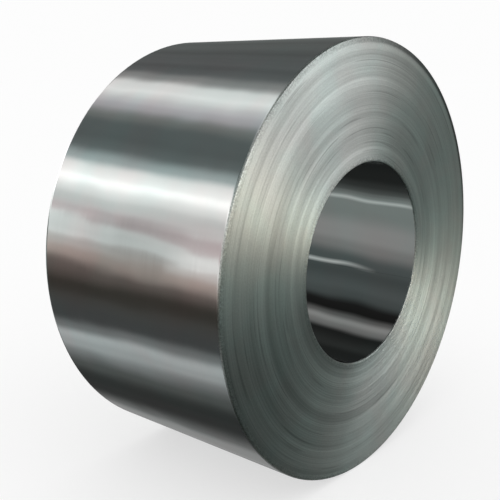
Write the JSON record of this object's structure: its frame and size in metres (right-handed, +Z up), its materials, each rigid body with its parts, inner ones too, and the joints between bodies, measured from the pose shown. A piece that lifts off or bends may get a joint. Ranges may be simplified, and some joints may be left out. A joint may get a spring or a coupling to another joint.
{
  "type": "steel coil",
  "caption": "Coil of bright rolled steel strip lying on its rim, with an open bore and its turns showing on the flat ends.",
  "frame": {"origin": "floor below the middle of the coil, where its rim rests", "axes": "+Z up, Y along the bore, with the end that the picture shows at -Y"},
  "size_m": [1.0983, 0.573, 1.0997],
  "materials": {
    "bright_steel": "polished"
  },
  "bodies": {
    "root": {"steel_coil": "bright_steel"}
  },
  "joints": []
}
